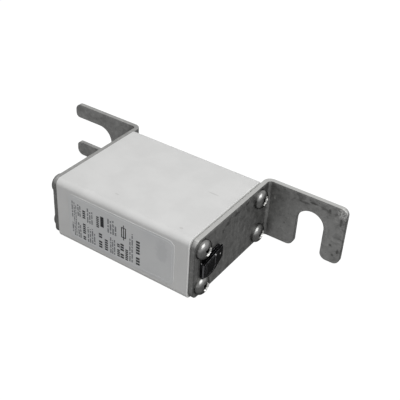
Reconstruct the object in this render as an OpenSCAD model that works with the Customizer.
// Square-body high-speed fuse-link with slotted blade tabs on 80 mm fixing centres.
// Frame: X runs along the terminals, +X to the side-slot end, -Y is the label side,
// +Y is the side of the mounting faces, Z = 0 is the underside of the ceramic body.

/* [Ceramic body] */
// Length of the ceramic body between its end faces
body_l = 47.2; // [42:0.2:52]
// Width of the ceramic body, from the label face to the back face
body_w = 37.5; // [36:0.5:46]
// Height of the ceramic body
body_h = 20.8; // [19.6:0.2:26]
// Radius of the four long edges
body_edge_r = 2; // [0.8:0.2:3]
// Ceramic left between the sand-filled cavity and the back face
cavity_back_wall = 6; // [5.4:0.1:7]
// Ceramic left above and below the cavity
cavity_wall = 3.4; // [2.8:0.1:4.2]
// Ceramic left between the cavity and the indicator's bore
cavity_web = 2; // [1:0.1:4]
// Corner radius of the cavity
cavity_r = 3; // [1:0.5:4]

/* [Label] */
// Length of the adhesive label
label_l = 38; // [30:1:42]
// Height of the adhesive label
label_h = 15.4; // [10:0.2:16]
// Corner radius of the label
label_r = 2; // [0.5:0.5:4]
// Thickness of the label
label_t = 0.1; // [0.1:0.05:0.3]

/* [Contact plates] */
// Sheet thickness of the bent contact plates
plate_t = 1.5; // [1:0.1:2]
// Step from the top and bottom of the body down to the plate edges
plate_inset = 0.5; // [0.2:0.1:1]
// Step from the front of the body back to the plate's front edge
plate_front_inset = 0.4; // [0.2:0.1:1]
// Radius of the plate's two front corners
plate_corner_r = 2.2; // [1:0.2:3]
// Inside radius of the bend
bend_r = 1; // [0.75:0.25:3]
// Thickness of the gaskets between the plates and the body
gasket_t = 0.2; // [0.1:0.05:0.5]
// Step from the body's outline in to the gasket's edge
gasket_inset = 1; // [0.6:0.1:1.2]

/* [Mounting tabs] */
// Distance between the fixing centres
fixing_pitch = 80; // [76:1:90]
// Overall length over both tabs
overall_l = 102; // [100:0.5:110]
// Distance of the mounting faces behind the back of the body
tab_standoff = 3.4; // [2:0.2:6]
// Width of the slot that opens downwards, on the +X tab
side_slot_w = 9; // [8.4:0.1:10]
// How far the side slot's round end lies above the middle of the tab
side_slot_rise = 0.3; // [0:0.1:1]
// Radius on the mouth of the side slot
side_mouth_r = 2.4; // [1:0.2:3.4]
// Width of the slot that opens outwards, on the -X tab
end_slot_w = 9.9; // [8.4:0.1:10.4]
// How far the end slot's round end lies inside the fixing centre
end_slot_shift = 0.6; // [0:0.1:1.5]
// Radius on the mouth of the end slot
end_mouth_r = 1.5; // [0.5:0.1:2]
// Radius of the tabs' outer corners
tab_corner_r = 2.2; // [1:0.2:2.6]

/* [Plate screws] */
// Distance of the front screws behind the label face
screw_from_front = 4; // [3.6:0.1:4.2]
// Distance of the back screws from the back of the body
screw_from_back = 3.4; // [3.2:0.1:3.8]
// Distance of the screws from the top and the bottom of the body
screw_from_edge = 4.2; // [3.8:0.1:4.6]
// Diameter of the screw shank
screw_d = 3; // [2.5:0.1:3.2]
// Length of the screw below its head
screw_l = 11; // [8:0.5:14]
// Diameter of the screw head
screw_head_d = 6; // [5.4:0.1:6.2]
// Height of the screw head
screw_head_h = 2.2; // [1.6:0.1:2.6]
// Diameter of the six-lobe recess across its points
recess_d = 2.8; // [2:0.1:3.4]
// Diameter of the six-lobe recess across its waists
recess_waist_d = 2; // [1.6:0.1:2.4]
// Depth of the six-lobe recess
recess_depth = 1.5; // [1:0.1:1.7]
// Radial clearance of the screws in the plates
screw_hole_play = 0.15; // [0.1:0.05:0.3]

/* [Fuse elements] */
// Distance between the three silver strips
strip_pitch = 3.6; // [3:0.1:4]
// Step from the sides of the contact bars in to the strips' edges
strip_margin = 0.7; // [0.4:0.1:2]
// Thickness of each strip
strip_t = 0.2; // [0.1:0.05:0.3]
// Number of rows of holes along a strip
notch_rows = 5; // [3:1:5]
// Distance between the rows
notch_row_pitch = 8; // [5:0.5:9]
// Diameter of the holes that leave the narrow necks
notch_d = 2.6; // [1.5:0.1:2.8]
// Width of the neck between two holes
neck_w = 0.4; // [0.2:0.1:0.8]
// Thickness of the contact bars that carry the strips, along X
bar_t = 3; // [2.5:0.1:4]
// Clearance of the contact bars at their sides, to the cavity's front and the filling hole
bar_side_gap = 0.7; // [0.3:0.1:1.5]
// Clearance of the contact bars below the cavity's top and above its bottom
bar_top_gap = 1.5; // [0.5:0.1:1.9]
// Depth to which the strips are let into the bars
strip_seat = 2; // [1:0.1:2.2]

/* [Filling hole] */
// Diameter of the filling hole in the end-slot plate
fill_d = 4; // [3:0.1:4.2]
// Distance of the filling hole's axis from the cavity's back
fill_edge = 2.7; // [2.4:0.1:3]
// Diameter of the plug's outer flange
fill_flange_d = 5.4; // [5:0.1:6]
// Thickness of the plug's outer flange
fill_flange_t = 0.6; // [0.3:0.1:1]

/* [Trip indicator] */
// Distance of the indicator's axis behind the label face
trip_from_front = 6.4; // [6.2:0.1:6.6]
// Travel of the pin when the fuse-link operates
trip_travel = 4; // [2:0.5:5]
// Diameter of the pin's shank
trip_pin_d = 2.4; // [1.8:0.1:2.6]
// Diameter of the pin's stop collar
trip_collar_d = 3.8; // [3.4:0.1:3.9]
// Length of the pin's stop collar
trip_collar_l = 1.2; // [0.8:0.1:2]
// Diameter of the pin's tail inside the spring
trip_tail_d = 1.6; // [1.2:0.1:1.8]
// Outside diameter of the spring sleeve
sleeve_od = 5; // [4.8:0.1:5.2]
// Wall of the spring sleeve
sleeve_wall = 0.5; // [0.4:0.05:0.5]
// Length of the spring sleeve
sleeve_l = 14.3; // [13.5:0.1:16]
// Thickness of the washer that the spring stands on
seat_t = 0.8; // [0.5:0.1:1.2]
// Wire diameter of the spring
spring_wire = 0.4; // [0.3:0.05:0.4]
// Number of turns of the spring
spring_turns = 8; // [5:1:10]
// Diameter of the holding wire
trip_wire_d = 0.4; // [0.2:0.05:0.6]
// Diameter of the wire's anchor bush
anchor_d = 4; // [3:0.1:4.5]
// Length of the wire's anchor bush
anchor_l = 4; // [2:0.5:6]

/* [Switch adaptor] */
// Outside diameter of the adaptor's spigot
spigot_d = 4.6; // [4.3:0.1:4.7]
// Length of the spigot below the plate's outer face
spigot_l = 3; // [2.5:0.1:4]
// Thickness of the adaptor's base flange
base_t = 0.4; // [0.3:0.05:0.8]
// Height of the groove that the switch slides in
groove_h = 0.5; // [0.3:0.05:0.8]
// Thickness of the adaptor's outer flange
flange_t = 0.6; // [0.4:0.05:1]
// Height of the raised rim around the button
rim_h = 0.3; // [0.2:0.05:0.5]
// Wall of the raised rim
rim_wall = 0.6; // [0.4:0.05:0.7]
// Width of the trip button
button_w = 4; // [3.6:0.1:4.2]
// Height of the trip button below the pin's axis
button_low = 2.6; // [2.2:0.1:2.7]
// Height of the trip button above the pin's axis, at the axis
button_high = 1.2; // [1:0.1:1.4]
// Slope of the button's upper edge, in degrees
button_slope = 11; // [0:1:15]
// Length along Y of the button's slanting lower corner
button_foot = 1.5; // [1:0.1:2]
// Slope of that corner, in degrees
foot_slope = 31; // [20:1:40]
// How far the button's face lies below the rim
button_sink = 0.1; // [0:0.05:0.3]

/* [Fits] */
// Clearance all round of sliding and seated pieces
play = 0.05; // [0.03:0.01:0.08]

/* [Hidden] */
$fn = 48;

ceramic_white = "#f2f1ee";
plated_grey = "#8f8c88";
screw_steel = "#c9c9c7";
copper = "#b8734a";
silver = "#d9d9d6";
moulded_black = "#1c1c1d";
brass = "#b59a5b";

// Planes of the body and the tabs
total_w = label_t + body_w + tab_standoff;
y_tab = total_w / 2;
y_front = label_t - total_w / 2;
y_back = y_front + body_w;
y_mid = (y_front + y_back) / 2;
z_mid = body_h / 2;
x_body = body_l / 2;
x_plate = x_body + gasket_t;
x_face = x_plate + plate_t;
x_tab = overall_l / 2;
x_fix = fixing_pitch / 2;

// Plate sheet
plate_h = body_h - 2 * plate_inset;
y_plate = y_front + plate_front_inset;
bend_outer = bend_r + plate_t;

// Screws
screw_y = [y_front + screw_from_front, y_back - screw_from_back];
screw_z = [screw_from_edge, body_h - screw_from_edge];
screw_bore_d = screw_d + 2 * play;
screw_bore_l = screw_l - plate_t - gasket_t + 1;
dome_steps = 7;

// Cavity, between the indicator's bore and the back wall
y_trip = y_front + trip_from_front;
channel_d = sleeve_od + 2 * play;
cavity_y = [y_trip + channel_d / 2 + cavity_web, y_back - cavity_back_wall];
cavity_w = cavity_y[1] - cavity_y[0];
cavity_h = body_h - 2 * cavity_wall;

// Contact bars, strips and filling hole inside the cavity
y_fill = cavity_y[1] - fill_edge;
bar_y = [cavity_y[0] + bar_side_gap, y_fill - fill_d / 2 - bar_side_gap];
bar_w = bar_y[1] - bar_y[0];
bar_h = cavity_h - 2 * bar_top_gap;
y_bar = (bar_y[0] + bar_y[1]) / 2;
strip_w = bar_w - 2 * strip_margin;
notch_pitch = notch_d + neck_w;
notch_holes = floor((strip_w - neck_w) / notch_pitch);

// Indicator, from the adaptor's spigot inwards
x_stop = x_face - spigot_l;
x_seat = x_stop - sleeve_l;
x_step = x_seat - seat_t;
x_collar = x_stop - trip_travel;
x_collar_back = x_collar - trip_collar_l;
x_tail = x_step - trip_travel + play;
wire_channel_d = trip_tail_d + 16 * play;
sleeve_id = sleeve_od - 2 * sleeve_wall;
spring_r = (sleeve_id - spring_wire) / 2 - 2 * play;
spring_steps = 14;

// Adaptor levels above the plate, and its outline round the pin
x_groove = x_face + base_t;
x_flange = x_groove + groove_h;
x_rim = x_flange + flange_t;
x_top = x_rim + rim_h;
x_button = x_top - button_sink;
scallop_r = screw_head_d / 2 + 4 * play;
base_disc_r = 6;
base_disc_y = 0.9;
base_disc_z = -0.4;
base_y = [-3, 6.3];
base_z = [-5, 3];
flange_y = [-3.2, 6.1];
flange_low = -4.4;
flange_step = 0.1;
ear_tip = [3.7, -2.5];
ear_z = -0.8;
neck_inset = 0.7;

// A rounded rectangle centred on the origin
module rounded_rect(w, h, r) {
    union() {
        square([w - 2 * r, h], center = true);
        square([w, h - 2 * r], center = true);
        for (sx = [-1, 1], sy = [-1, 1])
            translate([sx * (w / 2 - r), sy * (h / 2 - r)])
                circle(r = r);
    }
}

// Turns a section drawn in Y and Z into a solid from x0 to x1
module along_x(x0, x1) {
    translate([x0, 0, 0])
        rotate([90, 0, 90])
            linear_extrude(height = x1 - x0)
                children();
}

// A cylinder along X
module rod_x(x0, x1, d, y, z) {
    translate([x0, y, z])
        rotate([0, 90, 0])
            cylinder(d = d, h = x1 - x0);
}

// What a rounded corner takes away: the corner point is the origin, metal lies towards +,+
module corner_waste(r) {
    difference() {
        translate([-1, -1])
            square(r + 1);
        translate([r, r])
            circle(r = r);
    }
}

// Section of the cavity, in Y and Z
module cavity_section(shrink) {
    translate([(cavity_y[0] + cavity_y[1]) / 2, z_mid])
        rounded_rect(cavity_w - 2 * shrink, cavity_h - 2 * shrink, cavity_r - shrink);
}

module at_screws() {
    for (y = screw_y, z = screw_z)
        translate([0, y, z])
            children();
}

module ceramic_body() {
    color(ceramic_white)
        difference() {
            along_x(-x_body, x_body)
                translate([y_mid, z_mid])
                    rounded_rect(body_w, body_h, body_edge_r);
            along_x(-x_body - 1, x_body + 1)
                cavity_section(0);
            rod_x(-x_body - 1, x_body + 1, wire_channel_d, y_trip, z_mid);
            rod_x(x_step, x_body + 1, channel_d, y_trip, z_mid);
            rod_x(-x_body - 1, -x_plate + anchor_l, anchor_d + 2 * play, y_trip, z_mid);
            at_screws() {
                rod_x(x_body - screw_bore_l, x_body + 1, screw_bore_d, 0, 0);
                rod_x(-x_body - 1, screw_bore_l - x_body, screw_bore_d, 0, 0);
            }
        }
}

// The bent sheet before its holes and slots, with the tab towards +X
module bent_sheet() {
    translate([0, 0, plate_inset])
        linear_extrude(height = plate_h) {
            translate([x_plate, y_plate])
                square([plate_t, y_tab - bend_outer - y_plate]);
            translate([x_plate + bend_outer, y_tab - bend_outer])
                intersection() {
                    difference() {
                        circle(r = bend_outer);
                        circle(r = bend_r);
                    }
                    translate([-bend_outer, 0])
                        square(bend_outer);
                }
            translate([x_plate + bend_outer, y_tab - plate_t])
                square([x_tab - x_plate - bend_outer, plate_t]);
        }
}

// Cuts that both plates share: screw holes and rounded front corners
module plate_cuts() {
    at_screws()
        rod_x(x_plate - 1, x_face + 1, screw_d + 2 * screw_hole_play, 0, 0);
    along_x(x_plate - 1, x_face + 1) {
        translate([y_plate, plate_inset])
            corner_waste(plate_corner_r);
        translate([y_plate, plate_inset + plate_h])
            mirror([0, 1])
                corner_waste(plate_corner_r);
    }
}

// Turns a section drawn in X and Z into a cutter through the tab
module through_tab() {
    translate([0, y_tab + 1, 0])
        rotate([90, 0, 0])
            linear_extrude(height = plate_t + 2)
                children();
}

// Rounded corner on a tab: at is the corner point, dir says where the metal lies
module tab_corner(at, dir, r) {
    translate(at)
        mirror([dir[0] < 0 ? 1 : 0, 0])
            mirror([0, dir[1] < 0 ? 1 : 0])
                corner_waste(r);
}

module side_slot_plate() {
    z_low = plate_inset;
    z_high = plate_inset + plate_h;
    z_round = z_mid + side_slot_rise;
    color(plated_grey)
        difference() {
            bent_sheet();
            plate_cuts();
            rod_x(x_plate - 1, x_face + 1, spigot_d + 2 * play, y_trip, z_mid);
            through_tab() {
                translate([x_fix, z_round])
                    circle(d = side_slot_w);
                translate([x_fix - side_slot_w / 2, z_low - 1])
                    square([side_slot_w, z_round - z_low + 1]);
                tab_corner([x_fix - side_slot_w / 2, z_low], [-1, 1], side_mouth_r);
                tab_corner([x_fix + side_slot_w / 2, z_low], [1, 1], tab_corner_r);
                tab_corner([x_tab, z_low], [-1, 1], tab_corner_r);
                tab_corner([x_tab, z_high], [-1, -1], tab_corner_r);
            }
        }
}

module end_slot_plate() {
    z_low = plate_inset;
    z_high = plate_inset + plate_h;
    x_round = x_fix + end_slot_shift;
    color(plated_grey)
        mirror([1, 0, 0])
            difference() {
                bent_sheet();
                plate_cuts();
                rod_x(x_plate - 1, x_face + 1, fill_d + 2 * play, y_fill, z_mid);
                through_tab() {
                    translate([x_round, z_mid])
                        circle(d = end_slot_w);
                    translate([x_round, z_mid - end_slot_w / 2])
                        square([x_tab - x_round + 1, end_slot_w]);
                    tab_corner([x_tab, z_low], [-1, 1], tab_corner_r);
                    tab_corner([x_tab, z_high], [-1, -1], tab_corner_r);
                    tab_corner([x_tab, z_mid - end_slot_w / 2], [-1, -1], end_mouth_r);
                    tab_corner([x_tab, z_mid + end_slot_w / 2], [-1, 1], end_mouth_r);
                }
            }
}

// A gasket at the +X end: one opening for the sand, one for the indicator
module gasket(trip_opening_d) {
    color("#b9a98c")
        difference() {
            along_x(x_body, x_plate)
                translate([y_mid, z_mid])
                    rounded_rect(body_w - 2 * gasket_inset, body_h - 2 * gasket_inset, body_edge_r);
            along_x(x_body - 1, x_plate + 1)
                cavity_section(0);
            rod_x(x_body - 1, x_plate + 1, trip_opening_d, y_trip, z_mid);
            at_screws()
                rod_x(x_body - 1, x_plate + 1, screw_d + 2 * screw_hole_play, 0, 0);
        }
}

module side_gasket() {
    gasket(channel_d);
}

module end_gasket() {
    mirror([1, 0, 0])
        gasket(anchor_d + 2 * play);
}

// Pan-head screw along X, its head's seat at x = 0 and its shank towards -X
module screw() {
    head_r = screw_head_d / 2;
    rim = screw_head_h * 0.3;
    difference() {
        rotate([0, 90, 0])
            rotate_extrude()
                polygon(concat(
                    [[0, -screw_l], [screw_d / 2 - 0.4, -screw_l], [screw_d / 2, 0.8 - screw_l],
                        [screw_d / 2, 0], [head_r, 0]],
                    [for (i = [0 : dome_steps])
                        [head_r * cos(90 * i / dome_steps),
                            rim + (screw_head_h - rim) * sin(90 * i / dome_steps)]]));
        along_x(screw_head_h - recess_depth, screw_head_h + 1)
            six_lobes();
    }
}

// Outline of the screwdriver's recess: a disc with six round waists
module six_lobes() {
    waist_r = recess_d * 0.16;
    difference() {
        circle(d = recess_d);
        for (i = [0 : 5])
            rotate(30 + 60 * i)
                translate([recess_waist_d / 2 + waist_r, 0])
                    circle(r = waist_r, $fn = 20);
    }
}

module side_plate_screws() {
    color(screw_steel)
        at_screws()
            translate([x_face, 0, 0])
                screw();
}

module end_plate_screws() {
    mirror([1, 0, 0])
        side_plate_screws();
}

// Bar on the inside of the +X plate, grooved for the ends of the strips
module contact_bar() {
    color(copper)
        difference() {
            translate([x_plate - bar_t, bar_y[0], z_mid - bar_h / 2])
                cube([bar_t, bar_w, bar_h]);
            for (i = [-1 : 1])
                translate([x_plate - bar_t - 1, y_bar - strip_w / 2 - play,
                        z_mid + i * strip_pitch - strip_t / 2 - play])
                    cube([strip_seat + 1, strip_w + 2 * play, strip_t + 2 * play]);
        }
}

module side_contact_bar() {
    contact_bar();
}

module end_contact_bar() {
    mirror([1, 0, 0])
        contact_bar();
}

// One silver strip with its rows of holes
module fuse_element(level) {
    half = x_plate - bar_t + strip_seat;
    color(silver)
        translate([0, y_bar, z_mid + level * strip_pitch - strip_t / 2])
            difference() {
                translate([-half, -strip_w / 2, 0])
                    cube([2 * half, strip_w, strip_t]);
                for (row = [0 : notch_rows - 1], hole = [0 : notch_holes - 1])
                    translate([(row - (notch_rows - 1) / 2) * notch_row_pitch,
                            (hole - (notch_holes - 1) / 2) * notch_pitch, -1])
                        cylinder(d = notch_d, h = strip_t + 2, $fn = 24);
            }
}

module fuse_element_upper() {
    fuse_element(1);
}

module fuse_element_middle() {
    fuse_element(0);
}

module fuse_element_lower() {
    fuse_element(-1);
}

// Packed sand: the cavity less the bars and the strips
module quartz_sand() {
    x_end = x_plate - play;
    color("#cbbf9f")
        difference() {
            along_x(-x_end, x_end)
                cavity_section(play);
            for (side = [-1, 1])
                translate([side * (x_plate - bar_t / 2), y_bar, z_mid])
                    cube([bar_t + 2 * play, bar_w + 2 * play, bar_h + 2 * play], center = true);
            for (i = [-1 : 1])
                translate([0, y_bar, z_mid + i * strip_pitch])
                    cube([2 * (x_plate - bar_t) + 1, strip_w + 2 * play, strip_t + 2 * play],
                        center = true);
        }
}

module filling_plug() {
    color("#a8a6a0") {
        rod_x(-x_face - fill_flange_t, -x_face, fill_flange_d, y_fill, z_mid);
        rod_x(-x_face, -x_plate, fill_d, y_fill, z_mid);
    }
}

module rating_label() {
    color("#e6e7ea")
        translate([0, y_front, z_mid])
            rotate([90, 0, 0])
                linear_extrude(height = label_t)
                    rounded_rect(label_l, label_h, label_r);
}

// Turns an outline drawn round the pin's axis into a slab between two levels
module adaptor_slab(x0, x1) {
    along_x(x0, x1)
        translate([y_trip, z_mid])
            children();
}

module box_2d(ys, zs) {
    translate([ys[0], zs[0]])
        square([ys[1] - ys[0], zs[1] - zs[0]]);
}

// Clear space round the two front screw heads
module scallops(r) {
    for (z = screw_z)
        translate([screw_y[0] - y_trip, z - z_mid])
            circle(r = r);
}

// Moves every side of an outline out by a distance, or in by a negative one
function grown(points, distance) = [
    for (i = [0 : len(points) - 1])
        let (
            before = points[i] - points[(i + len(points) - 1) % len(points)],
            after = points[(i + 1) % len(points)] - points[i],
            side_1 = [before[1], -before[0]] / norm(before),
            side_2 = [after[1], -after[0]] / norm(after)
        )
        points[i] + distance * (side_1 + side_2) / (1 + side_1 * side_2)
];

// Height of the line that runs at a distance outside the button's upper edge, and its slanting lower corner
function above_button(y, distance) =
    button_high + tan(button_slope) * y + distance / cos(button_slope);
function below_button(y, distance) =
    tan(foot_slope) * (y - button_w / 2 + button_foot) - button_low - distance / cos(foot_slope);

// Outline of the button round the pin's axis
function button_points() = [
    [-button_w / 2, -button_low],
    [button_w / 2 - button_foot, -button_low],
    [button_w / 2, below_button(button_w / 2, 0)],
    [button_w / 2, above_button(button_w / 2, 0)],
    [-button_w / 2, above_button(-button_w / 2, 0)]
];

// Outline of the outer flange, which follows the button's slanting edges and has an ear at the back
function flange_points() =
    let (
        distance = play + rim_wall + flange_step,
        y_block = button_w / 2 + distance,
        y_foot = button_w / 2 - button_foot
            + (flange_low + button_low + distance / cos(foot_slope)) / tan(foot_slope)
    ) [
        [flange_y[0], flange_low],
        [y_foot, flange_low],
        [y_block, below_button(y_block, distance)],
        ear_tip,
        [flange_y[1], ear_z],
        [flange_y[1], above_button(flange_y[1], distance)],
        [flange_y[0], above_button(flange_y[0], distance)]
    ];

module flange_outline(inset) {
    difference() {
        polygon(grown(flange_points(), -inset));
        scallops(scallop_r + inset);
    }
}

module button_outline(grow) {
    polygon(grown(button_points(), grow));
}

module switch_adaptor() {
    color(moulded_black)
        difference() {
            union() {
                adaptor_slab(x_face, x_groove)
                    difference() {
                        intersection() {
                            translate([base_disc_y, base_disc_z])
                                circle(r = base_disc_r);
                            box_2d(base_y, base_z);
                        }
                        scallops(scallop_r);
                    }
                adaptor_slab(x_face, x_flange)
                    flange_outline(neck_inset);
                adaptor_slab(x_flange, x_rim)
                    flange_outline(0);
                adaptor_slab(x_rim, x_top)
                    difference() {
                        button_outline(play + rim_wall);
                        scallops(scallop_r);
                    }
                rod_x(x_stop, x_face, spigot_d, y_trip, z_mid);
            }
            adaptor_slab(x_groove, x_top + 1)
                button_outline(play);
            rod_x(x_stop - 1, x_top + 1, trip_pin_d + 2 * play, y_trip, z_mid);
        }
}

module trip_button() {
    color(moulded_black)
        adaptor_slab(x_groove + play, x_button)
            button_outline(0);
}

module trip_pin() {
    color(screw_steel) {
        rod_x(x_collar, x_groove + play, trip_pin_d, y_trip, z_mid);
        rod_x(x_collar_back, x_collar, trip_collar_d, y_trip, z_mid);
        rod_x(x_tail, x_collar_back, trip_tail_d, y_trip, z_mid);
    }
}

// One ring of points of the spring's wire
function coil_ring(t, length) =
    let (a = 360 * spring_turns * t, sides = 8)
    [for (k = [0 : sides - 1])
        let (b = 360 * k / sides, r = spring_r + spring_wire / 2 * cos(b))
        [length * t + spring_wire / 2 * sin(b), r * cos(a), r * sin(a)]];

// Compression spring between the washer and the pin's collar
module trip_spring() {
    sides = 8;
    length = x_collar_back - x_seat - spring_wire - 2 * play;
    rings = spring_turns * spring_steps;
    points = [for (i = [0 : rings]) each coil_ring(i / rings, length)];
    faces = concat(
        [[for (k = [0 : sides - 1]) k]],
        [for (i = [0 : rings - 1], k = [0 : sides - 1])
            [i * sides + k, (i + 1) * sides + k, (i + 1) * sides + (k + 1) % sides, i * sides + (k + 1) % sides]],
        [[for (k = [sides - 1 : -1 : 0]) rings * sides + k]]);
    color("#9a9a98")
        translate([x_seat + spring_wire / 2 + play, y_trip, z_mid])
            polyhedron(points, faces, convexity = 10);
}

module spring_sleeve() {
    color(brass)
        difference() {
            rod_x(x_seat, x_stop, sleeve_od, y_trip, z_mid);
            rod_x(x_seat - 1, x_stop + 1, sleeve_id, y_trip, z_mid);
        }
}

module spring_seat() {
    color(screw_steel)
        difference() {
            rod_x(x_step, x_seat, sleeve_od, y_trip, z_mid);
            rod_x(x_step - 1, x_seat + 1, trip_tail_d + 4 * play, y_trip, z_mid);
        }
}

module trip_wire() {
    color(silver)
        rod_x(anchor_l - x_plate, x_tail, trip_wire_d, y_trip, z_mid);
}

module wire_anchor() {
    color(brass)
        rod_x(-x_plate, anchor_l - x_plate, anchor_d, y_trip, z_mid);
}

ceramic_body();
side_slot_plate();
end_slot_plate();
side_gasket();
end_gasket();
side_plate_screws();
end_plate_screws();
side_contact_bar();
end_contact_bar();
fuse_element_upper();
fuse_element_middle();
fuse_element_lower();
quartz_sand();
filling_plug();
rating_label();
switch_adaptor();
trip_button();
trip_pin();
trip_spring();
spring_sleeve();
spring_seat();
trip_wire();
wire_anchor();
